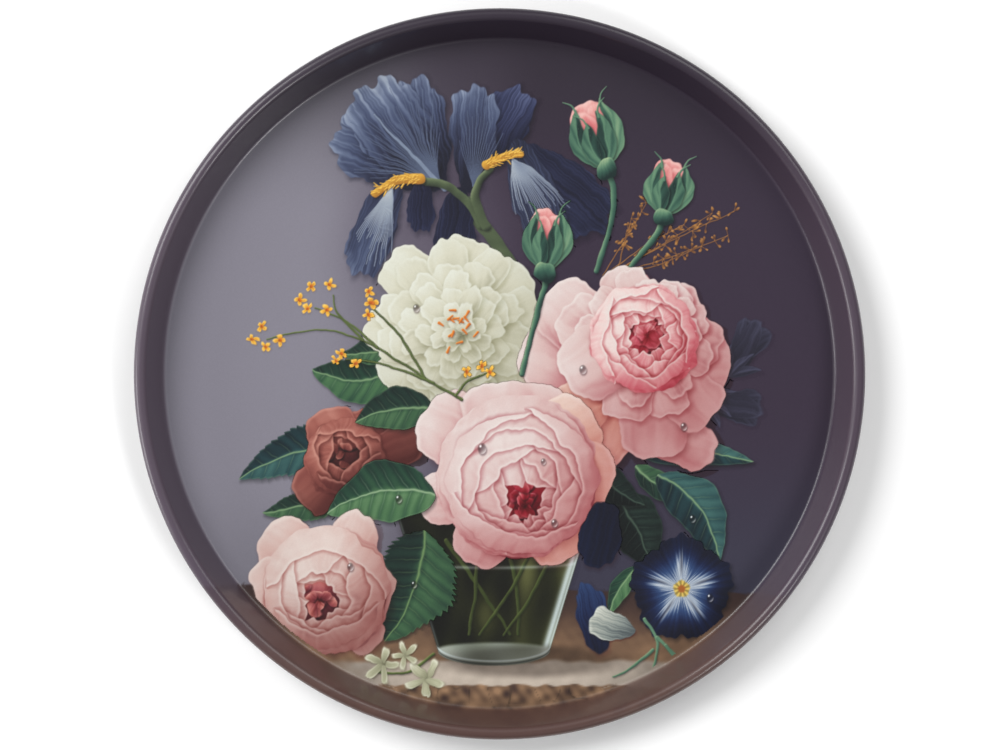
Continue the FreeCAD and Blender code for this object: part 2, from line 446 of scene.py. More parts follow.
def petal(piece, at, heading, length, width, tones, frill=0.03, waves=4, taper=0.3, lip=0.6, cast=1.3,
          cast_by=0.5, cast_tone=hue(168, 84, 94), streak=0.05, grain=9, form=0.15, roll=0.5, lift=0.0,
          seed=0):
    """A rounded petal: dark and narrow at its base, light in places along its lip. It casts a shade."""
    spot = near(at, 0.66 * max(length, width) + 2 * cast)
    draw = np.random.default_rng(seed)
    start = draw.uniform(0, 2 * math.pi, 4)
    turn = math.radians(heading)

    def shape(shift):
        """Depth inside the outline, place along and across the petal, and the angle round it."""
        x, y = strayed(spot, 1, at, shift)
        u = (x * math.cos(turn) + y * math.sin(turn)) / (length / 2)
        v = (y * math.cos(turn) - x * math.sin(turn)) / (width / 2)
        v = v / (1 - taper * (1 - np.clip(u, -1, 1)) / 2)
        angle = np.arctan2(v, u)
        wave = np.sin(waves * angle + start[0]) + 0.5 * np.sin((2 * waves + 1) * angle + start[1])
        edge = 1 + frill * wave * (0.55 + 0.45 * np.cos(angle))
        out = (np.abs(u) ** ROUNDNESS + np.abs(v) ** ROUNDNESS) ** (1 / ROUNDNESS)
        return (edge - out) * min(length, width) / 2, u, v, x, y, angle

    shade(piece, spot, shape((0.45 * cast, -0.7 * cast))[0], cast, cast_by, cast_tone)
    depth, u, v, x, y, angle = shape((0, 0))
    lit = facing(x, y) / (max(length, width) / 2)
    fold = np.sin(v * draw.uniform(2, 4.5) + start[2] + 0.8 * u) * (0.4 + 0.6 * ease(0.5 + 0.5 * u))
    streaks = streak * hairs(v + 0.25 * u * v, u, grain, seed)
    amount = 0.40 + 0.27 * u + form * lit + streaks + 0.08 * fold + lift
    amount = amount + 0.025 * cloudy(x, y, 16, seed + 1)
    colour = ramp(tones, np.clip(amount, 0, 1))
    outward = ease(0.55 + 0.6 * u)
    uneven = 0.45 + 0.55 * np.sin(2 * angle + start[3])
    tucked = band(depth, 2.6 * lip, 1.5 * lip) * 0.20 * outward * ease(uneven)
    colour = blend(colour, ramp(tones, np.clip(amount - 0.3, 0, 1)), tucked)
    rolled = band(depth, 0.7 * lip, 0.8 * lip) * roll * outward * (0.35 + 0.65 * ease(uneven))
    colour = blend(colour, tones[-1], rolled)
    lay(piece, spot, depth, colour)


def leaf(piece, base, tip, width, bow, tones, teeth=0.0, veins=7, cast=1.4, cast_by=0.45, pale_side=1,
         vein_tone=hue(124, 152, 110), seed=0):
    """A leaf along a bowed midrib, one half in the light, with side veins and an edge that may be toothed."""
    chord = math.dist(base, tip)
    turn = math.atan2(tip[1] - base[1], tip[0] - base[0])
    spot = near(((base[0] + tip[0]) / 2, (base[1] + tip[1]) / 2), chord / 2 + width + abs(bow))
    draw = np.random.default_rng(seed)

    def shape(shift):
        """Depth inside the outline, place along and across the leaf, and half its width there."""
        x, y = strayed(spot, 0.6, base, shift)
        along = (x * math.cos(turn) + y * math.sin(turn)) / chord
        inside = np.clip(along, 0, 1)
        across = y * math.cos(turn) - x * math.sin(turn) - bow * 4 * inside * (1 - inside)
        half = width / 2 * np.maximum(0, np.sin(math.pi * inside ** 0.78)) ** 0.85
        saw = (along * veins * 2.2 + np.abs(across) / width) % 1
        half = half * (1 + teeth * (saw - 0.5)) * (1 + 0.04 * np.sin(along * 17 + seed))
        past = np.maximum(0, np.abs(along - 0.5) - 0.5) * chord
        return (half - np.abs(across)) * 0.85 - past, along, across, half

    shadow = shape((0.5 * cast, -0.8 * cast))[0]
    shade(piece, spot, shadow, cast, cast_by, hue(30, 34, 36))
    depth, along, across, half = shape((0, 0))
    out = np.abs(across) / (half + 0.2)
    rib = along * veins - 1.15 * np.abs(across) / width * 2 + 0.12 * np.sign(across)
    bulge = np.sin(math.pi * (rib % 1))
    amount = 0.30 + 0.20 * pale_side * np.sign(across) * ease(out * 5) + 0.20 * bulge - 0.10 * out
    amount = amount + 0.05 * hairs(rib * 0.7, out, 6, seed) + 0.04 * cloudy(across, along * chord, 18, seed)
    colour = ramp(tones, np.clip(amount + 0.12 * draw.uniform(-1, 1), 0, 1))
    nearest = np.abs((rib + 0.5) % 1 - 0.5) * chord / veins
    side = band(nearest, 0, 0.30) * ease(1.15 - out) * 0.34
    middle = band(across, 0, 0.30 + 0.35 * (1 - np.clip(along, 0, 1))) * 0.85
    colour = blend(colour, vein_tone, np.maximum(side, middle))
    colour = blend(colour, vein_tone, band(depth, 0.2, 0.25) * 0.25)
    lay(piece, spot, depth, colour, body=0.02)


def stalk(piece, points, start_width, end_width, tones, cast=0.8, cast_by=0.35, seed=0):
    """A stem, twig or tendril drawn in one pull through a few points, round and lit from the left."""
    path = np.array([points[0], *points, points[-1]], float)
    steps_between = 7
    line = []
    for a, b, c, d in zip(path, path[1:], path[2:], path[3:]):
        for share in np.arange(steps_between) / steps_between:
            line.append(0.5 * (2 * b + (c - a) * share + (2 * a - 5 * b + 4 * c - d) * share ** 2
                               + (3 * b - a - 3 * c + d) * share ** 3))
    line = np.array([*line, path[-1]])
    middle = (line.min(0) + line.max(0)) / 2
    spot = near(middle, float(np.abs(line - middle).max()) + start_width + end_width + 2)

    def shape(shift):
        """Depth inside the outline, and how far each side of the stem turns to the light."""
        x, y = strayed(spot, 0.4, (0, 0), shift)
        best = np.full(x.shape, 1e3, np.float32)
        side = np.zeros_like(x)
        for place, (one, two) in enumerate(zip(line, line[1:])):
            run = two - one
            size = float(run @ run) + 1e-6
            share = np.clip(((x - one[0]) * run[0] + (y - one[1]) * run[1]) / size, 0, 1)
            off_x, off_y = x - one[0] - share * run[0], y - one[1] - share * run[1]
            half = (start_width + (end_width - start_width) * (place + share) / len(line)) / 2
            away = np.hypot(off_x, off_y) - half
            closer = away < best
            best = np.where(closer, away, best)
            lit = facing(off_x, off_y) / (half + 0.1)
            side = np.where(closer, lit, side)
        return -best, side

    if cast_by:
        shade(piece, spot, shape((0.5 * cast, -0.7 * cast))[0], cast * 0.7, cast_by, hue(60, 50, 56))
    depth, side = shape((0, 0))
    colour = ramp(tones, np.clip(0.45 + 0.5 * side + 0.05 * cloudy(X[spot], Y[spot], 9, seed), 0, 1))
    lay(piece, spot, depth, colour, body=0.02)


DRY = [hue(70, 44, 34), hue(134, 88, 44), hue(196, 144, 78)]
DUSK = [hue(26, 24, 36), hue(40, 38, 54), hue(62, 62, 82)]


def panicle(piece, root, tip, sprays, size, tones, seed):
    """A thread of dry grass with small husks down its outer half."""
    draw = np.random.default_rng(seed)
    sag = draw.uniform(-3, 3)
    middle = ((root[0] + tip[0]) / 2, (root[1] + tip[1]) / 2 + sag)
    stalk(piece, [root, middle, tip], 0.6, 0.3, tones, cast_by=0, seed=seed)
    for share in np.linspace(0.45, 1, sprays):
        x = root[0] + (tip[0] - root[0]) * share
        y = root[1] + (tip[1] - root[1]) * share + sag * 2 * share * (1 - share)
        for _ in range(3):
            turn = draw.uniform(0, 2 * math.pi)
            far = draw.uniform(0.6, 1.0) * size
            husk = step((x, y), turn, far)
            stalk(piece, [(x, y), husk], 0.28, 0.25, tones, cast_by=0, seed=seed)
            petal(piece, husk, math.degrees(turn), draw.uniform(1.5, 2.4), 1.1, tones, frill=0, lip=0.2,
                  cast=0.3, cast_by=0.15, cast_tone=DRY[0], lift=draw.uniform(-0.2, 0.3), seed=seed)


GRASS_TIPS = [(67, 78), (84, 68), (97, 73), (107, 74), (104, 63), (92, 58), (60, 71)]
for number, tip in enumerate(GRASS_TIPS):
    panicle("dry_grass", (47 + number, 45), tip, 6, 3.2, DRY, 20 + number)

for at, heading, length, width in [((111, 10), 62, 25, 17), ((105, -14), -12, 24, 18)]:
    for number, side in enumerate((-24, 22, 0)):
        turn = math.radians(heading + side)
        petal("shaded_buds", step(at, turn, 3), heading + side, length, width * 0.62, DUSK, taper=0.1,
              cast_by=0.1, cast_tone=DUSK[0], streak=0.2, lip=0.4, lift=-0.08, seed=30 + number)
    base = step(at, math.radians(heading), -0.5 * length)
    for number, side in enumerate((-50, -20, 25, 55)):
        turn = math.radians(heading + side)
        leaf("shaded_buds", base, step(base, turn, 15), 4.5, 1, DUSK, cast_by=0.1, vein_tone=DUSK[2],
             veins=3, seed=40 + number)

# ---------------------------------------------------------------------------------------------------------
# The glass. A plain tumbler of clear glass that widens to the top and stands on the ledge, two thirds full
# of water. The bouquet's green stalks cross in it. Its thick foot and its right edge carry the light.

WATER = [hue(6, 6, 4), hue(15, 16, 8), hue(34, 36, 16), hue(80, 82, 46)]
GLASS_LIGHT = hue(206, 220, 222)
GLASS_TOP, GLASS_FOOT = -62.0, -126.0
GLASS_TOP_HALF, GLASS_FOOT_HALF = 45.0, 25.5
GLASS_MIDDLE = -2.6
GLASS_REACH = 56  # from the middle of the glass to past its corners
FOOT_SAG = 7.0  # how far the round foot hangs down in the middle
WATER_LEVEL = -86
STALK_HEIGHTS = (-76, -99, -119)
STALK_ENDS = [(-22, 8), (-8, -12), (6, 12), (19, -7), (29, 5)]  # across the glass, above and below
STALK_GREEN = [hue(24, 30, 14), hue(52, 62, 28), hue(92, 104, 54)]
FOOT_TONES = [hue(88, 92, 78), hue(140, 148, 136), hue(200, 206, 198)]
GLASS_SHADE_AT = (14, -131)  # the shade that the glass throws on the ledge


def tumbler(piece):
    """The glass from behind to in front: water, stalks, water line, edges, foot."""
    spot = near((GLASS_MIDDLE, (GLASS_TOP + GLASS_FOOT) / 2), GLASS_REACH)
    x, y = X[spot] - GLASS_MIDDLE, Y[spot]
    down = np.clip((GLASS_TOP - y) / (GLASS_TOP - GLASS_FOOT), 0, 1)
    half = GLASS_TOP_HALF + (GLASS_FOOT_HALF - GLASS_TOP_HALF) * down
    dome = np.sqrt(np.clip(1 - (x / half) ** 2, 0, 1))
    bottom = GLASS_FOOT - FOOT_SAG * dome
    inside = np.minimum.reduce([half - np.abs(x), (y - bottom), GLASS_TOP - y])
    shade(piece, spot, inside - 1.5, 5.0, 0.55, hue(70, 52, 44))
    green = 0.44 + 0.20 * cloudy(x * 1.6, y * 0.7, 26, 51) + 0.24 * (x / half) + 0.10 * down
    lay(piece, spot, inside, ramp(WATER, green), body=0.02)
    for number, (above, below) in enumerate(STALK_ENDS):
        asides = (above, (above + below) / 2 + 1.5, below * 0.95)
        points = [(GLASS_MIDDLE + aside, height) for aside, height in zip(asides, STALK_HEIGHTS)]
        stalk(piece, points, 2.0, 1.1, STALK_GREEN, cast_by=0.25, seed=52 + number)
    water_line = band(y - WATER_LEVEL + 1.2 * dome * 2, 0, 0.8)
    paled = blend(film[spot], GLASS_LIGHT, water_line * 0.35 * (inside > 0.5))
    right_edge = band(half - x, 2.2, 1.7)
    thin_edge = band(half - x, 0.4, 0.5) + 0.5 * band(half + x, 0.6, 0.6)
    paled = blend(paled, GLASS_LIGHT, np.clip(0.80 * right_edge + 0.5 * thin_edge, 0, 0.92))
    in_foot = ease((GLASS_FOOT + 4.5 - y + 3.2 * (dome - 1)) / 2.0)
    foot_tone = ramp(FOOT_TONES, 0.36 + 0.12 * cloudy(x, y, 24, 60) + 0.4 * (np.abs(x) / half) ** 2)
    paled = blend(paled, foot_tone, in_foot * 0.85)
    paled = blend(paled, hue(36, 40, 38), band(y - bottom, 0.7, 0.45) * 0.7)
    paled = blend(paled, GLASS_LIGHT, band(y - bottom, 2.0, 0.5) * 0.65)
    film[spot] = blend(film[spot], paled, np.clip(0.5 + inside / 0.45, 0, 1))


tumbler("glass_tumbler")
pool = near((GLASS_SHADE_AT[0], GLASS_SHADE_AT[1] - 3), GLASS_REACH)
away = np.hypot((X[pool] - GLASS_SHADE_AT[0]) * 0.75, (Y[pool] - GLASS_SHADE_AT[1]) * 4.2)
shade("stone_ledge", pool, 30 - away, 9, 0.45, hue(60, 50, 44))

# ---------------------------------------------------------------------------------------------------------
# The leaves behind. Rose leaves painted in deep green with a paler half, laid round the edge of the bouquet
# so that the flowers close over their stalks.

GREEN = [hue(12, 28, 26), hue(28, 58, 44), hue(64, 100, 66), hue(116, 148, 106)]
BLUE_GREEN = [hue(12, 28, 34), hue(28, 58, 62), hue(56, 94, 90), hue(106, 140, 130)]
DEEP_GREEN = [hue(10, 22, 22), hue(24, 46, 38), hue(50, 82, 56), hue(96, 128, 88)]
SHADED_GREEN = [hue(4, 8, 9), hue(8, 16, 16), hue(18, 31, 28), hue(44, 62, 52)]

leaf("leaves_right", (66, -38), (116, -40), 13, 3, BLUE_GREEN, seed=70)
leaf("leaves_right", (62, -42), (88, -58), 12, -2, DEEP_GREEN, seed=76)
leaf("leaves_right", (72, -46), (100, -86), 23, 7, BLUE_GREEN, veins=8, seed=71)
leaf("leaves_right", (50, -53), (70, -91), 25, 3, SHADED_GREEN, veins=8, vein_tone=hue(66, 84, 70), seed=72)
leaf("leaves_right", (46, -42), (66, -60), 14, -3, SHADED_GREEN, vein_tone=hue(60, 78, 66), seed=73)
leaf("leaves_right", (63, -88), (50, -110), 10, -2, GREEN, veins=4, seed=74)
leaf("leaves_left", (-60, -32), (-119, -48), 22, -5, BLUE_GREEN, teeth=0.10, veins=9, seed=75)
leaf("leaves_left", (-66, -50), (-108, -63), 15, 3, DEEP_GREEN, teeth=0.08, seed=77)
leaf("leaves_left", (-46, 2), (-86, 2), 22, 5, GREEN, veins=7, seed=78)
leaf("leaves_left", (-44, 16), (-72, 10), 13, 3, DEEP_GREEN, seed=79)

# ---------------------------------------------------------------------------------------------------------
# The iris. A bearded iris in slate blue: broad ruffled standards that stand up at the back, falls that hang
# at the sides with paler hatched middles, and a golden beard at the head of each fall.

SLATE_BLUE = [hue(20, 21, 36), hue(37, 41, 63), hue(60, 69, 96), hue(98, 109, 134), hue(156, 166, 182)]
NAVY = [hue(13, 13, 28), hue(24, 26, 48), hue(42, 47, 76), hue(80, 88, 120)]
IRIS_STEM = [hue(30, 36, 30), hue(70, 82, 58), hue(134, 146, 108)]
BEARD = [hue(150, 98, 34), hue(218, 168, 62), hue(246, 218, 128)]
BEARD_HAIR = 1.9  # length of one bright hair
VEIN = [hue(54, 62, 84), hue(82, 93, 116), hue(116, 128, 148)]
PALE_HATCH = [hue(88, 98, 122), hue(136, 146, 160), hue(186, 190, 188)]


def iris_petal(at, heading, length, width, tones, seed, **more):
    """A ruffled iris petal with fine veins that run out to its lip."""
    look = dict(frill=0.065, waves=8, taper=0.45, lip=0.9, cast=1.8, cast_tone=hue(62, 62, 86), streak=0.17,
                grain=21, form=0.24, roll=0.10, seed=seed)
    petal("iris", at, heading, length, width, tones, **{**look, **more})


def hatch(root, heading, length, spread, count, seed, width=0.9, tones=PALE_HATCH, bow=0.0):
    """Thin lines that fan out over a petal from its foot, bowed outward."""
    draw = np.random.default_rng(seed)
    for share in np.linspace(-1, 1, count):
        turn = math.radians(heading + share * spread)
        far = length * draw.uniform(0.55, 1.0) * (1 - 0.3 * abs(share))
        half_way = turn - share * bow
        stalk("iris", [root, step(root, half_way, far * 0.5), step(root, turn, far)], width, width * 0.28,
              tones, cast_by=0, seed=seed)


def beard(points, width, seed):
    """A soft tongue of short bright hairs along a line, each hair leaning forward."""
    draw = np.random.default_rng(seed)
    path = np.array(points, float)
    knots = np.linspace(0, 1, len(path))
    ahead = math.atan2(path[-1][1] - path[0][1], path[-1][0] - path[0][0])
    stalk("iris", points, width * 0.8, width * 0.5, BEARD[:2], cast=1.0, cast_by=0.5, seed=seed)
    for share in np.linspace(0.02, 0.98, 46):
        side = draw.uniform(-0.42, 0.42) * width
        x = np.interp(share, knots, path[:, 0]) - side * math.sin(ahead)
        y = np.interp(share, knots, path[:, 1]) + side * math.cos(ahead)
        turn = ahead + 1.6 * side / width + draw.normal(0, 0.25)
        stalk("iris", [(x, y), step((x, y), turn, BEARD_HAIR)], 0.7, 0.3, BEARD, cast=0.3, cast_by=0.10,
              seed=int(share * 100) + seed)


stalk("iris", [(-14, 78), (-8, 68), (0, 58), (5, 50)], 6.5, 5.5, IRIS_STEM, seed=80)
iris_petal((-20, 68), 262, 36, 22, NAVY, 81, lift=-0.12)
iris_petal((0, 110), 62, 44, 26, NAVY, 82, lift=0.02)
iris_petal((-12, 107), 88, 48, 27, SLATE_BLUE, 83, lift=-0.10)
hatch((-12, 86), 84, 44, 24, 15, 283, width=0.5, tones=VEIN)
iris_petal((-50, 101), 154, 52, 42, SLATE_BLUE, 84, lift=-0.12, waves=9)
iris_petal((-34, 109), 102, 52, 28, SLATE_BLUE, 86, lift=-0.16)
iris_petal((-46, 109), 126, 54, 42, SLATE_BLUE, 85, lift=-0.04, waves=10)
hatch((-27, 86), 132, 60, 42, 41, 285, width=0.55, tones=VEIN, bow=0.12)
crease = [(-25, 84), (-38, 98), (-50, 110), (-57, 118)]
stalk("iris", crease, 2.2, 0.5, [*VEIN[1:], PALE_HATCH[2]], seed=286)
iris_petal((-56, 68), 250, 48, 24, SLATE_BLUE, 87, lift=-0.02)
hatch((-49, 86), 252, 44, 20, 23, 88, width=0.75)
iris_petal((-36, 77), 268, 24, 15, NAVY, 89, lift=-0.06)
iris_petal((28, 85), 318, 54, 34, NAVY, 90, lift=-0.02)
iris_petal((15, 84), 290, 48, 26, SLATE_BLUE, 91, lift=-0.16)
hatch((6, 98), 300, 44, 26, 25, 92, width=0.7, bow=-0.10)
stalk("iris", [(-34, 88), (-25, 86), (-15, 79), (-8, 68)], 3.4, 4.4, IRIS_STEM, seed=93)
stalk("iris", [(-4, 93), (-9, 88), (-11, 79), (-6, 67)], 3.0, 4.4, IRIS_STEM, seed=94)
beard([(-36, 89), (-43, 89), (-50, 87), (-57, 82)], 6.0, 95)
beard([(-6, 95), (-1, 98), (5, 100), (10, 100)], 5.4, 96)

# ---------------------------------------------------------------------------------------------------------
# The rosebuds. Pink buds still held in green sepals, on stems that bend from the bouquet. Each is painted as
# a pointed cup: petals first, then the sepals round it, then the swollen neck.

BUD_PINK = [hue(120, 36, 46), hue(184, 84, 90), hue(208, 138, 134), hue(224, 188, 180)]
BUD_GREEN = [hue(18, 38, 36), hue(44, 78, 66), hue(88, 124, 98), hue(152, 174, 134)]

BUD_PETALS = [  # place along and across the bud, tilt, length and width
    (0.52, 0.05, 0, 0.86, 0.60), (0.50, -0.13, 6, 0.74, 0.40), (0.48, 0.15, -8, 0.70, 0.38),
]
SEPALS = [  # where it starts across the bud, where its tip is along and across, and its bow
    (-0.10, 0.94, -0.17, -0.15), (0.10, 0.88, 0.19, 0.15), (-0.04, 0.78, -0.10, -0.06),
    (0.05, 0.66, 0.09, 0.05),
]


def rosebud(piece, neck, heading, length, width, seed, stem):
    """A bud from its hip up: rolled pink petals, sepals that close round them, and whiskers at their tips."""
    turn = math.radians(heading)
    ahead, across = (math.cos(turn), math.sin(turn)), (-math.sin(turn), math.cos(turn))

    def place(along, aside):
        return (neck[0] + ahead[0] * along * length + across[0] * aside * width,
                neck[1] + ahead[1] * along * length + across[1] * aside * width)

    stalk(piece, [place(-0.15, 0), *stem], 3.0, 2.2, BUD_GREEN, seed=seed)
    for number, (along, aside, tilt, reach, broad) in enumerate(BUD_PETALS):
        petal(piece, place(along, aside), heading + tilt, length * reach, width * broad * 0.96, BUD_PINK,
              taper=-0.2, lip=0.7, cast=1.0, cast_tone=hue(170, 70, 80), seed=seed + number)
    for number, (aside, top, out, bow) in enumerate(SEPALS):
        side = 1 if out > 0 else -1
        leaf(piece, place(-0.03, aside), place(top, out), width * 0.29, bow * width, BUD_GREEN, veins=2,
             cast=0.9, cast_by=0.5, pale_side=side, vein_tone=BUD_GREEN[2], seed=seed + 10 + number)
        whisker = [place(top - 0.10, out), place(top + 0.05, out + 0.05 * side),
                   place(top + 0.15, out + 0.17 * side)]
        stalk(piece, whisker, 1.1, 0.35, BUD_GREEN[1:], cast=0.5, cast_by=0.2, seed=seed + 20 + number)
    petal(piece, place(-0.09, 0), heading, length * 0.32, width * 0.30, BUD_GREEN, frill=0, taper=-0.1,
          lip=0.3, cast_tone=BUD_GREEN[0], form=0.35, roll=0.1, seed=seed + 30)


rosebud("rosebuds", (48, 96), 106, 31, 30, 100, [(52, 84), (51, 69), (44, 47)])
rosebud("rosebuds", (75, 74), 78, 25, 27, 130, [(72, 64), (63, 53), (56, 44)])

# ---------------------------------------------------------------------------------------------------------
# The white peony. A full cream-white flower seen from the front: rings of short frilled petals, each ring
# laid over the foot of the one outside it, down to a loose heart with orange stamens.

CREAM = [hue(106, 104, 80), hue(178, 176, 155), hue(196, 194, 175), hue(202, 202, 187), hue(209, 211, 200)]

STAMEN = [hue(140, 66, 24), hue(204, 112, 40), hue(236, 158, 70)]


def bloom(piece, centre, radius, heart, squash, rings, tones, seed, cast_tone=hue(150, 60, 75),
          cast_by=0.5, frill=0.05, waves=5):
    """A flower seen from the front, from its outermost ring of petals to the innermost."""
    draw = np.random.default_rng(seed)
    for number, (count, reach, size, breadth) in enumerate(rings):
        inward = number / (len(rings) - 1)
        middle = [side + (aim - side) * inward for side, aim in zip(centre, heart)]
        for place in draw.permutation(count):
            turn = 2 * math.pi * (place + 0.5 * (number % 2) + draw.uniform(-0.22, 0.22)) / count
            far = reach * radius * draw.uniform(0.92, 1.06)
            at = (middle[0] + far * math.cos(turn), middle[1] + far * squash * math.sin(turn))
            petal(piece, at, math.degrees(turn) + draw.uniform(-14, 14),
                  size * radius * draw.uniform(0.85, 1.15), breadth * radius * draw.uniform(0.85, 1.15),
                  tones, frill=frill, waves=waves, cast=0.05 * radius, cast_by=cast_by * (0.8 + 0.4 * inward),
                  cast_tone=cast_tone, lip=0.45 + 0.006 * radius, lift=draw.uniform(-0.07, 0.07),
                  seed=int(draw.integers(1 << 30)))


def rounded(piece, centre, radius, strength, tone):
    """Turns a finished flower round: shade gathers on its lower right and along its far edge."""
    spot = near(centre, radius * 1.9)
    x, y = (X[spot] - centre[0]) / radius, (Y[spot] - centre[1]) / radius
    away = -facing(x, y)
    dim = ease(0.30 + 0.75 * away + 0.22 * (x * x + y * y)) * strength * (owner[spot] == painted.index(piece))
    film[spot] *= 1 - dim[..., None] * (1 - tone)


bloom("white_peony", (-20, 20), 42, (-18, 18), 1.04,
      [(8, 0.66, 0.66, 0.66), (10, 0.64, 0.54, 0.50), (11, 0.52, 0.48, 0.42), (10, 0.42, 0.42, 0.34),
       (10, 0.30, 0.36, 0.28), (8, 0.20, 0.30, 0.22), (6, 0.09, 0.22, 0.15)],
      CREAM, 140, cast_tone=hue(170, 168, 138), cast_by=0.42, frill=0.05)
rounded("white_peony", (-20, 20), 42, 0.26, hue(146, 144, 124))
draw = np.random.default_rng(141)
for number in range(16):
    root = (-19 + draw.normal(0, 3.4), 21 + draw.normal(0, 4.4))
    turn = draw.uniform(0, 2 * math.pi)
    stalk("white_peony", [root, step(root, turn, 2.6)], 0.7, 1.3, STAMEN, cast_by=0.25, seed=142 + number)

# ---------------------------------------------------------------------------------------------------------
# The pink roses and the coral one. Old garden roses, quartered and very full. The right one faces the front
# and the middle one hangs over as a cup, both shell pink with crimson folds. The small one is coral.

SHELL = [hue(122, 48, 58), hue(178, 122, 124), hue(199, 171, 167), hue(207, 191, 187), hue(214, 204, 199)]
PEACH = [hue(138, 68, 60), hue(188, 132, 116), hue(204, 168, 152), hue(212, 190, 178), hue(219, 206, 198)]
ROSE_FOLD = hue(176, 76, 90)


def wrap(piece, centre, radius, heart, start, bearing, spread, tones, lip=0.7, cast=1.5, cast_by=0.55,
         cast_tone=ROSE_FOLD, lift=0.0, seed=0):
    """A petal that curls over the heart: its lip runs round the heart and its back is part of the ball."""
    spot = near(centre, radius + 3)
    draw = np.random.default_rng(seed)
    first, second, third = draw.uniform(0, 2 * math.pi, 3)
    x, y = strayed(spot, 1.2, heart)
    out = np.hypot(x, y) + 1e-3
    turn = (np.arctan2(y, x) - math.radians(bearing) + math.pi) % (2 * math.pi) - math.pi
    share = turn / math.radians(spread)
    off = (heart[0] - centre[0], heart[1] - centre[1])
    along = (x * off[0] + y * off[1]) / out
    limit = np.sqrt(np.maximum(0, radius ** 2 - off[0] ** 2 - off[1] ** 2 + along ** 2)) - along
    limit = limit * (draw.uniform(0.92, 1.07) - 0.05 * share ** 2)
    wave = np.sin(4 * share + first) + 0.5 * np.sin(9 * share + second)
    rise = np.clip(np.abs(share + draw.uniform(-0.22, 0.22) * (1 - share ** 2)), 0, 1) ** 3.6
    edge = limit * (start + (1 - start) * rise) + 0.030 * radius * wave * (1 - rise)
    from_lip = out - edge
    from_lip = from_lip / np.maximum(1, np.hypot(*np.gradient(from_lip, NET)))  # true distance
    depth = np.where(np.abs(share) < 1, np.minimum(from_lip, limit * (1 + 0.028 * wave) - out), -9)
    within = np.minimum(from_lip + 0.6 * cast, limit - out - 0.4 * cast)
    shade(piece, spot, np.where(np.abs(share) < 1, within, -9), cast, cast_by, cast_tone)
    over = np.clip(from_lip / (limit - edge + 1), 0, 1)
    lit = facing(x + off[0], y + off[1]) / radius
    fold = np.sin(share * draw.uniform(3, 6) + third) * (1 - over)
    amount = 0.68 - 0.28 * over + 0.22 * lit + 0.07 * hairs(share * 1.5, over, 12, seed) + 0.09 * fold + lift
    colour = ramp(tones, np.clip(amount, 0, 1))
    tucked = band(from_lip, 2.8 * lip, 1.5 * lip) * 0.22 * ease(0.6 + 0.6 * np.sin(3 * share + first))
    colour = blend(colour, ramp(tones, np.clip(amount - 0.3, 0, 1)), tucked)
    colour = blend(colour, tones[-1], band(from_lip, 0.7 * lip, 0.8 * lip) * 0.65)
    lay(piece, spot, depth, colour)


def globe(piece, centre, radius, heart, rings, tones, seed, cast_by=0.55, cast_tone=ROSE_FOLD, lip=0.7):
    """Rings of wrapped petals, from the one round the heart to the outermost, which lies over the others."""
    draw = np.random.default_rng(seed)
    for count, start in rings:
        first = draw.uniform(0, 360)
        for place in draw.permutation(count):
            wrap(piece, centre, radius, heart, start * draw.uniform(0.85, 1.15),
                 first + 360 * (place + draw.uniform(-0.15, 0.15)) / count,
                 360 / count * draw.uniform(0.9, 1.15), tones, lip=lip, cast_by=cast_by, cast_tone=cast_tone,
                 lift=draw.uniform(-0.11, 0.09), seed=int(draw.integers(1 << 30)))


def ball(piece, centre, radius, tones, seed):
    """The body of a full rose, which the wrapped petals lie on."""
    petal(piece, centre, 120, 2.04 * radius, 2.0 * radius, tones, frill=0.02, waves=3, taper=0, cast=2.6,
          cast_by=0.4, lip=1.0, seed=seed)


def folded_heart(piece, heart, radius, count, tones, seed):
    """The dark middle of a full rose: small petals folded edge on, some of them catching the light."""
    draw = np.random.default_rng(seed)
    petal(piece, heart, 90, 2.1 * radius, 2.3 * radius, tones, frill=0.06, taper=0, roll=0, cast=1.0,
          cast_tone=tones[0], lift=-0.3, seed=seed)
    for _ in range(count):
        turn = draw.uniform(0, 2 * math.pi)
        far = radius * draw.uniform(0.1, 0.95)
        petal(piece, step(heart, turn, far), math.degrees(turn) + draw.uniform(-35, 35),
              radius * draw.uniform(0.35, 0.6), radius * draw.uniform(0.55, 0.95), tones, frill=0.06,
              taper=0.2, lip=0.4, cast=0.8, cast_tone=tones[0], cast_by=0.75, lift=draw.uniform(-0.25, 0.2),
              seed=int(draw.integers(1 << 30)))


DEEP_FOLD = [hue(98, 12, 30), hue(152, 36, 54), hue(188, 92, 104), hue(204, 146, 148), hue(216, 190, 186)]
RIGHT_PETALS = [
    ((26, 8), 165, 34, 36, SHELL), ((34, 26), 140, 34, 34, SHELL), ((50, -24), 240, 36, 30, PEACH),
    ((38, -14), 215, 26, 28, PEACH), ((80, -30), 340, 40, 24, SHELL), ((70, -22), 275, 34, 34, SHELL),
    ((92, 4), 350, 26, 34, SHELL), ((88, -12), 320, 26, 30, SHELL),
]
for at, heading, length, width, tones in RIGHT_PETALS:
    petal("rose_right", at, heading, length, width, tones, taper=0.15, lip=0.9, cast=2.2,
          seed=int(at[0] + at[1]) + 150)
bloom("rose_right", (63, 14), 36, (68, 18), 1.0,
      [(7, 0.66, 0.66, 0.74), (9, 0.60, 0.54, 0.52), (11, 0.48, 0.44, 0.40)],
      SHELL, 151, cast_tone=hue(178, 62, 78), cast_by=0.6, frill=0.05)
petal("rose_right", (44, 6), 205, 34, 34, SHELL, taper=0.05, lip=0.9, cast=2.0, lift=0.06, seed=154)
ball("rose_right", (66, 16), 22, SHELL, 155)
folded_heart("rose_right", (68, 18), 13, 22, DEEP_FOLD, 152)
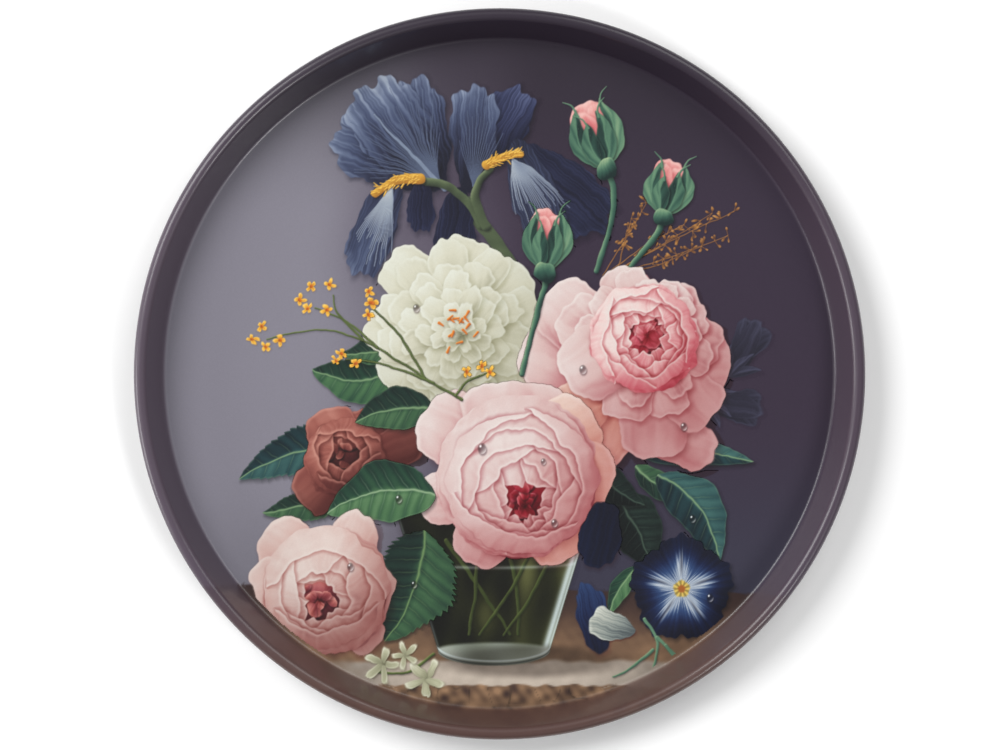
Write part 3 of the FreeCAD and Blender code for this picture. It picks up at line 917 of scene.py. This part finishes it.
globe("rose_right", (66, 16), 24, (68, 17), [(9, 0.30), (9, 0.46), (8, 0.62), (7, 0.78)],
      DEEP_FOLD[1:] + SHELL[-1:], 153, cast_tone=hue(186, 70, 84), lip=0.5)
rounded("rose_right", (62, 8), 42, 0.42, hue(176, 84, 92))

CORAL = [hue(64, 24, 26), hue(106, 50, 46), hue(148, 86, 76), hue(186, 132, 118)]
CORAL_PETALS = [((-58, -26), 200, 30, 26), ((-74, -30), 120, 30, 28), ((-80, -50), 215, 28, 26),
                ((-62, -48), 290, 28, 28), ((-48, -34), 20, 28, 22)]
for at, heading, length, width in CORAL_PETALS:
    petal("coral_rose", at, heading, length, width, CORAL, cast=1.6, cast_tone=hue(100, 36, 36),
          seed=int(-at[0]) + 160)
ball("coral_rose", (-70, -38), 17, CORAL, 163)
folded_heart("coral_rose", (-71, -36), 8, 9, CORAL, 161)
globe("coral_rose", (-70, -38), 18, (-71, -35), [(5, 0.38), (5, 0.62)], CORAL, 162,
      cast_tone=hue(104, 38, 38))
rounded("coral_rose", (-68, -40), 28, 0.55, hue(80, 40, 44))

leaf("leaves_left", (-30, -16), (-66, -22), 20, -3, DEEP_GREEN, veins=7, seed=170)

MIDDLE_HEART = [hue(84, 8, 24), hue(146, 24, 44), hue(196, 88, 98), hue(220, 186, 180)]
MIDDLE_PETALS = [
    ((-20, -26), 150, 34, 36, SHELL), ((6, -16), 92, 26, 50, SHELL), ((30, -26), 40, 30, 34, PEACH),
    ((-24, -56), 195, 28, 26, SHELL), ((40, -46), 350, 24, 34, PEACH), ((-8, -76), 240, 24, 28, SHELL),
    ((26, -74), 300, 24, 30, PEACH),
]
for at, heading, length, width, tones in MIDDLE_PETALS:
    petal("rose_middle", at, heading, length, width, tones, taper=0.1, lip=0.9, cast=2.2, lift=0.03,
          seed=int(at[0]) + 190)
ball("rose_middle", (9, -48), 34, SHELL, 182)
folded_heart("rose_middle", (12, -60), 10, 18, MIDDLE_HEART, 180)
globe("rose_middle", (9, -48), 35, (12, -60), [(8, 0.22), (6, 0.36), (5, 0.54), (4, 0.74)], SHELL, 181)
rounded("rose_middle", (9, -46), 40, 0.42, hue(180, 86, 92))

# ---------------------------------------------------------------------------------------------------------
# The front leaves and the fallen rose. Two large leaves lie over the rim of the glass, and a paler rose has
# been laid on the ledge at the lower left.

leaf("leaves_front", (-34, -72), (-52, -122), 37, 4, DEEP_GREEN, teeth=0.13, veins=9,
     vein_tone=hue(108, 136, 86), seed=200)
leaf("leaves_front", (-29, -55), (-79, -64), 28, -6, GREEN, veins=9, vein_tone=hue(146, 170, 134), seed=201)

ASH_ROSE = [hue(108, 52, 58), hue(178, 130, 124), hue(196, 164, 156), hue(204, 184, 177), hue(212, 199, 192)]
FALLEN_HEART = [hue(92, 36, 48), hue(150, 72, 80), hue(204, 132, 124), hue(238, 196, 182)]
FALLEN_PETALS = [((-95, -80), 150, 30, 30), ((-69, -81), 70, 38, 24), ((-100, -96), 190, 26, 30),
                 ((-58, -100), 350, 20, 30), ((-62, -118), 300, 18, 20)]
for at, heading, length, width in FALLEN_PETALS:
    petal("rose_lower", at, heading, length, width, ASH_ROSE, taper=0.2, lip=0.9, cast=2.0,
          seed=int(-at[0]) + 210)
ball("rose_lower", (-79, -99), 27, ASH_ROSE, 213)
folded_heart("rose_lower", (-83, -104), 8.5, 12, FALLEN_HEART, 211)
globe("rose_lower", (-79, -99), 28, (-82, -104), [(7, 0.26), (6, 0.44), (4, 0.66)], ASH_ROSE, 212,
      cast_tone=hue(176, 98, 94))
rounded("rose_lower", (-78, -96), 34, 0.50, hue(136, 72, 70))

# ---------------------------------------------------------------------------------------------------------
# The middle bud. It stands in front of the white and the pink flower, on a long stem down to the roses, and
# is painted like the other buds, but after the flowers that it covers.

rosebud("middle_bud", (21, 49), 86, 28, 27, 230, [(20, 38), (15, 20), (10, 0)])

# ---------------------------------------------------------------------------------------------------------
# The yellow sprigs. Wiry green twigs that carry small four-petalled yellow flowers with an orange eye. They
# reach from the roses to the left, and are painted over the peony.

TWIG = [hue(40, 48, 26), hue(82, 96, 50), hue(140, 152, 92)]
YELLOW = [hue(178, 112, 32), hue(224, 168, 58), hue(242, 208, 112)]
TWIGS = [
    [(-17, -12), (-34, -2), (-56, 12), (-80, 20), (-106, 16)],
    [(-34, -2), (-46, 18), (-58, 30)],
    [(-56, 12), (-70, 24), (-84, 30)],
    [(-30, -4), (-52, 4), (-70, 7)],
    [(-20, -10), (-14, -3), (-4, 1)],
    [(-62, 15), (-74, 28), (-76, 36)],
]
YELLOW_EYE = [hue(120, 50, 16), hue(186, 92, 30), hue(220, 140, 60)]
YELLOW_FLOWERS = [
    (-86, 40), (-91, 34), (-88, 30), (-77, 41), (-79, 29), (-59, 37), (-58, 32), (-108, 22), (-112, 16),
    (-107, 13), (-101, 15), (-75, 6), (-72, 10), (-66, 5), (-15, 1), (-8, 4), (-4, 1), (-60, 27),
]
for number, points in enumerate(TWIGS):
    stalk("yellow_sprigs", points, 1.2, 0.6, TWIG, cast_by=0.2, seed=240 + number)
for number, at in enumerate(YELLOW_FLOWERS):
    for arm in range(4):
        turn = math.pi / 4 + arm * math.pi / 2 + 0.7 * number
        petal("yellow_sprigs", step(at, turn, 1.4), math.degrees(turn), 2.5, 2.0, YELLOW, frill=0.06, lip=0.3,
              cast=0.5, cast_by=0.3, cast_tone=hue(150, 100, 60), seed=260 + number)
    petal("yellow_sprigs", at, 0, 1.3, 1.3, YELLOW_EYE, frill=0, taper=0, lip=0.2, cast=0.3, seed=number)

# ---------------------------------------------------------------------------------------------------------
# The bindweed. A deep blue trumpet flower facing the front at the lower right, with a star of pale rays, a
# second seen from the side, and one in shade behind the glass.

BINDWEED = [hue(10, 12, 30), hue(16, 26, 58), hue(40, 62, 102), hue(112, 132, 156)]


def trumpet(piece, centre, radius, squash, seed):
    """The open flower: five pale rays from a golden throat, blue between them, with a navy ruffled rim."""
    spot = near(centre, radius * 1.3 + 2)
    start = np.random.default_rng(seed).uniform(0, 6)

    def shape(shift):
        x, y = X[spot] - centre[0] - shift[0], (Y[spot] - centre[1] - shift[1]) / squash
        angle = np.arctan2(y, x)
        edge = 1 + 0.06 * np.cos(5 * angle + start) + 0.03 * np.sin(17 * angle) + 0.02 * np.sin(29 * angle)
        limit = radius * edge
        return limit - np.hypot(x, y), np.hypot(x, y) / limit, angle

    shade(piece, spot, shape((0.8, -1.2))[0], 1.8, 0.5, hue(40, 34, 44))
    depth, out, angle = shape((0, 0))
    ray = 0.5 + 0.5 * np.cos(5 * angle + start)
    fine = hairs(angle * 3, out, 11, seed)
    amount = 0.72 - 0.72 * ease((out - 0.34) / 0.62) + 0.07 * fine + 0.12 * ray
    colour = ramp(BINDWEED, np.clip(amount, 0, 1))
    star = ease((0.42 + 0.32 * ray + 0.12 * fine - out) / 0.32)
    colour = blend(colour, hue(190, 196, 200), star * (0.70 + 0.20 * fine))
    seam = np.abs((angle + start / 5 + math.pi / 5) % (2 * math.pi / 5) - math.pi / 5) * out * radius
    colour = blend(colour, BINDWEED[0], band(seam, 0.1, 0.5) * 0.5 * ease((out - 0.15) / 0.3))
    throat = hue(206, 178, 88) * (0.82 + 0.18 * np.cos(9 * angle))[..., None]
    colour = blend(colour, throat, ease((0.19 - out) / 0.05))
    colour = blend(colour, hue(150, 84, 34), ease((0.10 - out) / 0.05))
    lay(piece, spot, depth, colour)


PALE_BINDWEED = [hue(74, 82, 84), hue(122, 130, 126), hue(168, 172, 162), hue(210, 212, 202)]
petal("bindweed", (46, -73), 258, 30, 22, BINDWEED[:2], frill=0.06, waves=5, streak=0.22, grain=14, roll=0.2,
      lift=-0.20, seed=270)
trumpet("bindweed", (83, -98), 22.5, 1.03, 271)
petal("bindweed", (43, -112), 104, 32, 15, BINDWEED[:3], frill=0.08, waves=5, taper=0.1, streak=0.2, grain=14,
      roll=0.25, seed=273)
petal("bindweed", (52, -115), 166, 22, 21, PALE_BINDWEED, frill=0.05, waves=5, taper=0.75, streak=0.18,
      grain=14, cast=1.0, lift=-0.08, seed=274)
TENDRILS = [[(66, -112), (72, -122), (70, -134), (64, -142)], [(72, -120), (82, -130), (92, -134)],
            [(70, -126), (60, -134), (52, -138)], [(76, -124), (84, -136), (86, -143)]]
for number, points in enumerate(TENDRILS):
    stalk("bindweed", points, 1.6, 0.7, BUD_GREEN[1:], seed=274 + number)

# ---------------------------------------------------------------------------------------------------------
# The white starflowers. Three small five-petalled flowers and a thin stalk, fallen on the ledge by the foot
# of the glass and painted over the stone.

WHITE_STAR = [hue(124, 124, 98), hue(174, 174, 146), hue(218, 218, 200)]
stalk("starflowers", [(-30, -128), (-42, -136), (-56, -136)], 1.4, 0.9, TWIG, seed=290)
for number, (x, y, size) in enumerate([(-54, -133, 8.5), (-34, -139, 9.5), (-43, -128, 7.0)]):
    for arm in range(5):
        turn = 2 * math.pi * arm / 5 + number
        petal("starflowers", step((x, y), turn, 0.5 * size), math.degrees(turn), size, 0.44 * size,
              WHITE_STAR, frill=0.02, lip=0.4, cast=0.8, cast_tone=hue(90, 84, 66), seed=292 + number)

# ---------------------------------------------------------------------------------------------------------
# The dew. A few drops on petals and leaves, each a dark crescent on the side of the light, a soft glow on
# the other and one small sharp glint.

DEW = [("rose_middle", -8, -34, 2.0), ("rose_middle", 25, -68, 1.5), ("rose_middle", 20, -40, 1.2),
       ("rose_right", 38, 2, 1.7), ("rose_right", 84, -24, 1.5), ("leaves_front", -46, -57, 1.6),
       ("leaves_front", -39, -96, 1.4), ("leaves_right", 88, -66, 1.5), ("white_peony", -38, 30, 1.5),
       ("bindweed", 96, -102, 1.6), ("rose_lower", -68, -88, 1.5)]


def drop(piece, at, radius):
    spot = near(at, radius * 1.8)
    x, y = (X[spot] - at[0]) / radius, (Y[spot] - at[1]) / (1.25 * radius)
    shade(piece, spot, (1 - np.hypot(x - 0.2, y + 0.35)) * radius, 0.5, 0.5, hue(90, 70, 80))
    out = np.hypot(x, y)
    lit = facing(x, y)
    under = film[spot] * (1 - 0.30 * ease(0.5 + 0.9 * lit))[..., None]
    glow = blend(under, hue(255, 250, 246), 0.55 * ease(-0.2 - 1.1 * lit) * ease(out * 1.4))
    glint = band(np.hypot(x + 0.35, y - 0.40), 0, 0.24)
    lay(piece, spot, (1 - out) * radius, blend(glow, hue(255, 255, 255), glint), body=0.06, soft=0.3)


for piece, x, y, radius in DEW:
    drop(piece, (x, y), radius)

# ---------------------------------------------------------------------------------------------------------
# The skin of the picture. The ground coat as one turned film over floor, bend, wall and bead, under
# everything that is painted on it. It stops level with the widest part of the bead, where the dark lacquer
# takes over.

GROUND_RINGS = 82  # across the floor, so that the ground blends smoothly

skin_line = section_line(all_coats, 0, GROUND_RINGS)
skin_edge = skin_line[-1] - (all_coats - face_coat_thickness, 0)  # inward, on to the lacquer
profile = np.array([*skin_line, skin_edge])

AUBERGINE = hue(72, 60, 72)
RIM_BROWN = hue(80, 58, 54)
# the rim at the top of the tray: partly its own darker tone, partly painted shade
RIM_TOP_AND_SHADE = hue(40, 33, 44)
TOOTH_HEIGHT = 0.03  # of the brush marks in the paint
MAP_MARGIN = 0.01  # free at each side of a film's map, as a share of its width


def surface_colour(x, y):
    """Ground or ledge on the floor; up the wall the rim's tone, with painted shade at the top."""
    colour, cover = ledge(x, y)
    colour = blend(ground(x, y), colour, cover)
    out = np.hypot(x, y)
    rim = blend(AUBERGINE, RIM_BROWN, ease((-y / (out + 1) - 0.55) / 0.35))
    # darker towards the top of the wall and bead: painted shade over the rim's own tone
    rim = blend(rim, RIM_TOP_AND_SHADE, ease((y / (out + 1) - 0.35) / 0.6) * 0.85)
    return blend(colour, rim, ease((out - floor_radius - 0.2) / 2.6) * 0.88)


def linear(colour):
    """From the tones as mixed on the palette to amounts of light."""
    colour = np.clip(colour, 0, 1)
    return np.where(colour < 0.04045, colour / 12.92, ((colour + 0.055) / 1.055) ** 2.4)


def paint_material(name, gloss, tooth):
    """Oil paint under a clear varnish. The film holds its colour; pigment grain and tooth are added."""
    material, tree, body = new_material(name)
    body.inputs["Specular IOR Level"].default_value = 0.35
    body.inputs["Coat Weight"].default_value = 0.30
    body.inputs["Coat Roughness"].default_value = 0.16
    tone = add(tree, "Attribute")
    tone.attribute_name = "paint"
    place = add(tree, "TexCoord")
    grain = add(tree, "TexNoise", Scale=1700.0, Detail=3.0)
    amount = add(tree, "MapRange", To_Min=0.93, To_Max=1.07)
    mixed = add(tree, "VectorMath")
    mixed.operation = "SCALE"
    rough = add(tree, "MapRange", To_Min=gloss - 0.05, To_Max=gloss + 0.07)
    bump = add(tree, "Bump", Strength=tooth, Distance=TOOTH_HEIGHT * MM)
    join(tree, (place, "Object", grain, "Vector"), (grain, "Fac", amount, "Value"),
         (tone, "Color", mixed, 0), (amount, "Result", mixed, "Scale"), (grain, "Fac", rough, "Value"),
         (grain, "Fac", bump, "Height"), (mixed, "Vector", body, "Base Color"),
         (rough, "Result", body, "Roughness"), (bump, "Normal", body, "Normal"))
    return material


ground_paint = paint_material("ground paint", 0.40, 0.15)
flower_paint = paint_material("flower paint", 0.36, 0.30)


def film_mesh(name, points, faces, colours, material, spread):
    """A piece of paint film with its colour at each point. `spread` puts the points flat, for its map."""
    mesh = bpy.data.meshes.new(name)
    mesh.vertices.add(len(points))
    mesh.vertices.foreach_set("co", (points * MM).astype(np.float32).ravel())
    sizes = np.array([len(face) for face in faces])
    corners = np.concatenate(faces)
    mesh.loops.add(len(corners))
    mesh.loops.foreach_set("vertex_index", corners.astype(np.int32))
    mesh.polygons.add(len(sizes))
    mesh.polygons.foreach_set("loop_start", np.concatenate([[0], np.cumsum(sizes)[:-1]]).astype(np.int32))
    mesh.update(calc_edges=True)
    mesh.validate()
    tones = np.concatenate([linear(colours), np.ones((len(colours), 1))], 1)
    paint = mesh.color_attributes.new("paint", "FLOAT_COLOR", "POINT")
    paint.data.foreach_set("color", tones.astype(np.float32).ravel())
    low, size = spread.min(0), np.ptp(spread, axis=0).max()
    flat = ((spread - low) / size * (1 - 2 * MAP_MARGIN) + MAP_MARGIN)[corners]
    mesh.uv_layers.new(name="OFBake").data.foreach_set("uv", flat.astype(np.float32).ravel())
    return set_down(name, mesh, material)


skin_points, skin_faces = turned(profile)
lengths = np.concatenate([[0], np.cumsum(np.hypot(*np.diff(profile, axis=0).T))])
unrolled = np.append(np.repeat(lengths[1:], ROUND), 0)  # way from the middle to each point along the surface
turns = np.arctan2(skin_points[:, 1], skin_points[:, 0])
skin_map = np.stack([unrolled * np.cos(turns), unrolled * np.sin(turns)], -1)
skin_colours = surface_colour(*skin_points[:, :2].T)
skin = film_mesh("ground_film", skin_points, skin_faces, skin_colours, ground_paint, skin_map)
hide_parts("painted_picture", "clear_varnish")

# ---------------------------------------------------------------------------------------------------------
# The painted pieces. Each flower, spray and leaf group becomes its own film on the skin, a few hundredths of
# a millimetre proud of it, with the brushwork as relief. The ledge lies lower, under the flowers, on a wider
# net.

LEDGE_LIFT = 0.02
FLOWER_LIFT = 0.045
PICTURE_EDGE = floor_radius - 0.9  # films stop just short of the bend, where the ground film carries on

normals = np.gradient(profile[:-1], axis=0)
normals /= np.hypot(*normals.T)[:, None]
upper = int(np.argmax(profile[:, 1]))


def rest_height(out, lift):
    """Height of a film that lies `lift` over the skin, at a distance out from the middle."""
    raised = profile[:-1] + np.stack([-normals[:, 1], normals[:, 0]], -1) * lift
    return np.interp(out, raised[:upper, 0], raised[:upper, 1])


def lift_off(name, mask, lift, wide):
    """The film of one piece, from the net's squares that the mask covers."""
    x, y = X[::wide, ::wide], Y[::wide, ::wide]
    mask = mask[::wide, ::wide] & (np.hypot(x, y) < PICTURE_EDGE)
    square = mask[:-1, :-1] | mask[1:, :-1] | mask[:-1, 1:] | mask[1:, 1:]
    square &= np.hypot(x, y)[1:, 1:] < PICTURE_EDGE
    used = np.zeros(mask.shape, bool)
    for down, across in ((0, 0), (0, 1), (1, 0), (1, 1)):
        used[down:down + square.shape[0], across:across + square.shape[1]] |= square
    number = np.cumsum(used.ravel()).reshape(used.shape) - 1
    height = rest_height(np.hypot(x, y), lift) + relief[::wide, ::wide] * (wide == 1)
    points = np.stack([x[used], y[used], height[used]], -1).astype(float)
    faces = np.stack([number[:-1, :-1][square], number[:-1, 1:][square], number[1:, 1:][square],
                      number[1:, :-1][square]], -1)
    return film_mesh(name, points, faces, film[::wide, ::wide][used], flower_paint, points[:, :2])


for index, name in enumerate(painted):
    if name == "stone_ledge":
        lift_off(name, cover > COVERED, LEDGE_LIFT, 2)
    elif name != "ground":
        lift_off(name, owner == index, FLOWER_LIFT, 1)

# ---------------------------------------------------------------------------------------------------------
# The table and the light. A plain white table top, a large soft light from the upper left, a smaller one
# from the lower right that glints along the rim, a low one from the left, a wide one from the upper right,
# and a dim even surround.

TABLE_HALF = 3.0
table_mesh = bpy.data.meshes.new("table_top")
sides = ((-1, -1), (1, -1), (1, 1), (-1, 1))
table_mesh.from_pydata([(TABLE_HALF * x, TABLE_HALF * y, 0) for x, y in sides], [], [(0, 1, 2, 3)])
table = bpy.data.objects.new("table_top", table_mesh)
bpy.context.scene.collection.objects.link(table)
white, _, white_body = new_material("white table")
white_body.inputs["Base Color"].default_value = (0.93, 0.93, 0.93, 1)
white_body.inputs["Roughness"].default_value = 0.9
table_mesh.materials.append(white)


def soft_light(name, at, size, power):
    """A round lamp that is turned to the middle of the tray."""
    light = bpy.data.lights.new(name, "AREA")
    light.shape = "DISK"
    light.size = size
    light.energy = power
    lamp = bpy.data.objects.new(name, light)
    lamp.location = at
    reach = math.hypot(at[0], at[1])
    lamp.rotation_euler = (0, math.atan2(reach, at[2]), math.atan2(at[1], at[0]))
    bpy.context.scene.collection.objects.link(lamp)


soft_light("key_light", (-1.3, 0.9, 1.7), 1.3, 40)
soft_light("rim_light", (1.05, -1.05, 1.5), 0.6, 15)
soft_light("side_light", (-1.8, -0.3, 0.55), 0.9, 16)
soft_light("fill_light", (0.9, 1.2, 1.6), 1.4, 16)

world = bpy.data.worlds.new("surround")
world.use_nodes = True
world.node_tree.nodes["Background"].inputs["Color"].default_value = (1, 1, 1, 1)
world.node_tree.nodes["Background"].inputs["Strength"].default_value = 0.22
bpy.context.scene.world = world
bpy.context.scene.view_settings.view_transform = "Standard"

# ---------------------------------------------------------------------------------------------------------
# The camera. It looks straight down on the middle of the tray from 1.6 m above the rim. Its lens is long, so
# that the tray almost fills the height of the view.

CAMERA_ABOVE_RIM = 1.6
CAMERA_ASIDE = (0.0002, -0.0005)  # from the tray's middle
camera = bpy.data.cameras.new("camera")
camera.sensor_width = 36
camera.lens = 127.9
camera.clip_start = 0.05
camera_stand = bpy.data.objects.new("camera", camera)
camera_stand.location = (*CAMERA_ASIDE, CAMERA_ABOVE_RIM + cad_high.z)
bpy.context.scene.collection.objects.link(camera_stand)
bpy.context.scene.camera = camera_stand
